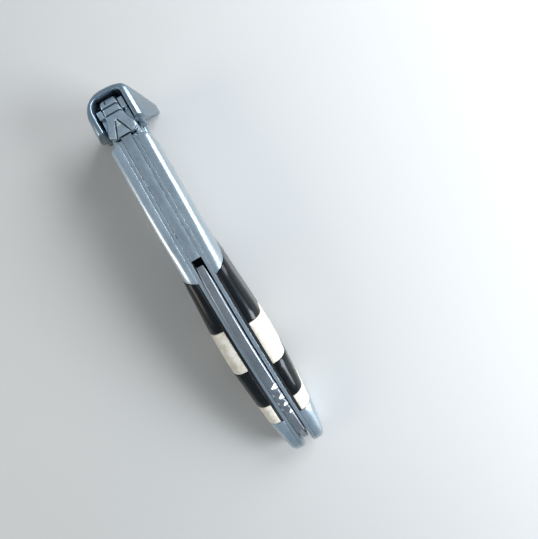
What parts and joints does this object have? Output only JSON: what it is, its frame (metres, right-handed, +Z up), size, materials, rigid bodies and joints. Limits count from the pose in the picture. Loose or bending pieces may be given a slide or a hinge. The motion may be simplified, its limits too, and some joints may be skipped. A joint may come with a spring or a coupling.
{
  "type": "waiter's corkscrew",
  "caption": "Folded waiter's corkscrew with a satin steel handle, black and ivory scales, a boot lever, a worm and a foil blade on pins.",
  "frame": {"origin": "under the middle of the folded tool, on the plane that the lever's beak and the tail stand on", "axes": "+X towards the handle's tail, +Y towards its right side, +Z up to the spine"},
  "size_m": [0.126, 0.0224, 0.0263],
  "materials": {
    "satin_steel": "satin",
    "spring_steel": "satin",
    "black_horn": "polished horn",
    "bone": "polished bone",
    "black_fibre": "matt vulcanised fibre"
  },
  "bodies": {
    "handle": {"liner_left": "spring_steel", "liner_right": "spring_steel", "front_bolster_left": "satin_steel", "front_bolster_right": "satin_steel", "tail_bolster_left": "satin_steel", "tail_bolster_right": "satin_steel", "scale_backing_left": "black_fibre", "scale_backing_right": "black_fibre", "scale_left_black_front": "black_horn", "scale_left_ivory_front": "bone", "scale_left_black_rear": "black_horn", "scale_left_ivory_rear": "bone", "scale_right_black_front": "black_horn", "scale_right_ivory_front": "bone", "scale_right_black_rear": "black_horn", "scale_right_ivory_rear": "bone", "spine_spring": "satin_steel", "spring_head": "satin_steel", "blade_spring": "spring_steel", "spring_rivet_front": "spring_steel", "spring_rivet_rear": "spring_steel", "leaf_rivet_front": "spring_steel", "leaf_rivet_rear": "spring_steel", "lever_pin": "spring_steel", "worm_pin": "spring_steel", "blade_pin": "spring_steel"},
    "lever": {"lever": "satin_steel"},
    "worm": {"worm": "spring_steel"},
    "blade": {"foil_blade": "satin_steel"}
  },
  "joints": [
    {"name": "lever_hinge", "type": "hinge", "parent": "handle", "child": "lever", "pos_m": [-0.0532, 0, 0.0174], "axis": [0, 1, 0], "range_deg": [0, 100]},
    {"name": "worm_hinge", "type": "hinge", "parent": "handle", "child": "worm", "pos_m": [0, 0, 0.0135], "axis": [0, 1, 0], "range_deg": [0, 90]},
    {"name": "blade_hinge", "type": "hinge", "parent": "handle", "child": "blade", "pos_m": [0.0558, 0, 0.0054], "axis": [0, 1, 0], "range_deg": [0, 180]}
  ]
}
